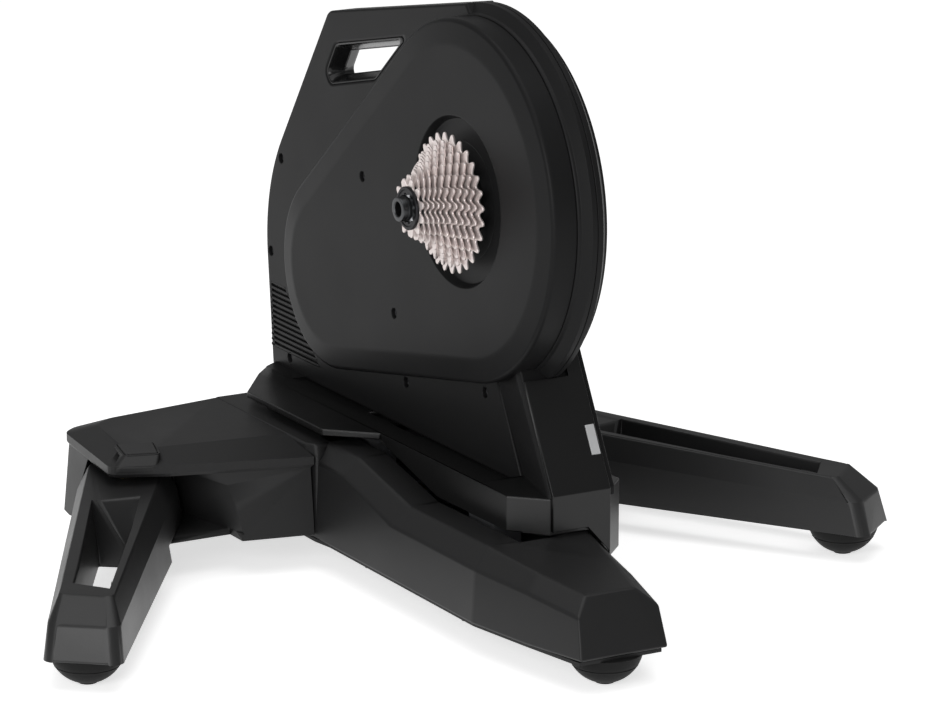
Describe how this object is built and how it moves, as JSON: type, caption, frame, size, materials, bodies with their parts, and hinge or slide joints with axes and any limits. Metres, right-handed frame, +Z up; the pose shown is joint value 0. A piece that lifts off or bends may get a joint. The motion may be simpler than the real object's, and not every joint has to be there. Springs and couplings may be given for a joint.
{
  "type": "smart bike trainer",
  "caption": "Direct-drive smart bike trainer with folding legs, a sliding resistance unit, a belt-driven flywheel and a cassette on a freehub.",
  "frame": {"origin": "centre of the footprint, on the floor under the ball feet", "axes": "+X towards the drive side across the bike, +Y towards the front along the beam, +Z up"},
  "size_m": [0.82, 0.68, 0.5182],
  "materials": {
    "base_plastic": "fine moulded grain",
    "pan_plastic": "fine moulded grain",
    "leg_paint": "satin black powder coat",
    "latch_plastic": "satin",
    "foot_rubber": "matt moulded rubber",
    "steel": "ground",
    "screw_steel": "blackened",
    "cast_alloy": "cast",
    "bush_bronze": "machined",
    "saddle_paint": "satin black powder coat",
    "shell_plastic": "satin moulded",
    "cover_plastic": "satin moulded",
    "liner_plastic": "smooth",
    "window_plastic": "frosted light window",
    "cap_alloy": "anodised grey",
    "belt_rubber": "ribbed",
    "core_steel": "laminated",
    "copper": "enamelled copper wire",
    "board_green": "solder mask",
    "black_alloy": "black anodised",
    "nickel": "satin nickel plate"
  },
  "bodies": {
    "base": {"base_beam": "base_plastic", "base_pan": "pan_plastic", "wing_right": "base_plastic", "wing_left": "base_plastic", "hinge_pins": "steel", "guide_rails": "steel", "rail_blocks": "cast_alloy", "rail_buffers": "foot_rubber", "front_foot": "foot_rubber", "rear_feet": "foot_rubber", "latch_spring_right": "steel", "latch_spring_left": "steel", "pan_screws": "screw_steel"},
    "leg_right": {"leg_right": "leg_paint", "leg_foot_right": "foot_rubber", "hinge_bush_right": "bush_bronze"},
    "leg_left": {"leg_left": "leg_paint", "leg_foot_left": "foot_rubber", "hinge_bush_left": "bush_bronze"},
    "latch_right": {"latch_right": "latch_plastic"},
    "latch_left": {"latch_left": "latch_plastic"},
    "carriage": {"saddle": "saddle_paint", "slide_blocks": "cast_alloy", "slide_bushes": "bush_bronze", "main_frame": "cast_alloy", "right_shell": "shell_plastic", "left_shell": "shell_plastic", "drive_cover": "cover_plastic", "left_cover": "cover_plastic", "handle_liner": "liner_plastic", "front_panel": "cover_plastic", "status_window": "window_plastic", "fixed_axle": "steel", "end_cap_right": "cap_alloy", "end_cap_left": "cap_alloy", "drive_belt": "belt_rubber", "stator_core": "core_steel", "stator_coils": "copper", "flywheel_bearings": "steel", "control_board": "board_green", "power_inlet": "liner_plastic", "shell_screws": "screw_steel", "cover_screws": "screw_steel"},
    "driver": {"drive_pulley": "cast_alloy", "pulley_bearings": "steel", "ratchet_ring": "steel"},
    "cassette": {"freehub_body": "black_alloy", "freehub_bearings": "steel", "sprockets_large": "nickel", "sprockets_middle": "nickel", "sprockets_small": "nickel", "sprocket_spacers": "black_alloy", "lock_ring": "black_alloy"},
    "flywheel": {"flywheel": "core_steel", "flywheel_magnets": "core_steel", "flywheel_shaft": "steel", "drive_pinion": "steel"}
  },
  "joints": [
    {"name": "leg_right_fold", "type": "hinge", "parent": "base", "child": "leg_right", "pos_m": [0.2, -0.17435, 0.06], "axis": [0, 0, 1], "range_deg": [0, 32]},
    {"name": "leg_left_fold", "type": "hinge", "parent": "base", "child": "leg_left", "pos_m": [-0.2, -0.17435, 0.06], "axis": [0, 0, 1], "range_deg": [-32, 0]},
    {"name": "latch_right_press", "type": "slide", "parent": "base", "child": "latch_right", "axis": [0, 0, -1], "range_m": [0, 0.0035], "stiffness_N_per_m": 900, "springref_m": -0.001, "deforming": ["latch_spring_right"]},
    {"name": "latch_left_press", "type": "slide", "parent": "base", "child": "latch_left", "axis": [0, 0, -1], "range_m": [0, 0.0035], "stiffness_N_per_m": 900, "springref_m": -0.001, "deforming": ["latch_spring_left"]},
    {"name": "carriage_slide", "type": "slide", "parent": "base", "child": "carriage", "axis": [0, 1, 0], "range_m": [-0.025, 0.025], "stiffness_N_per_m": 900},
    {"name": "pulley_spin", "type": "hinge", "parent": "carriage", "child": "driver", "pos_m": [-0.038, 0.06465, 0.3532], "axis": [1, 0, 0], "continuous": true},
    {"name": "cassette_spin", "type": "hinge", "parent": "carriage", "child": "cassette", "pos_m": [-0.038, 0.06465, 0.3532], "axis": [1, 0, 0], "continuous": true},
    {"name": "flywheel_spin", "type": "hinge", "parent": "carriage", "child": "flywheel", "pos_m": [-0.038, -0.17475, 0.2403], "axis": [1, 0, 0], "continuous": true}
  ],
  "couplings": [
    {"joint": "pulley_spin", "follows": "flywheel_spin", "ratio": 0.125}
  ]
}
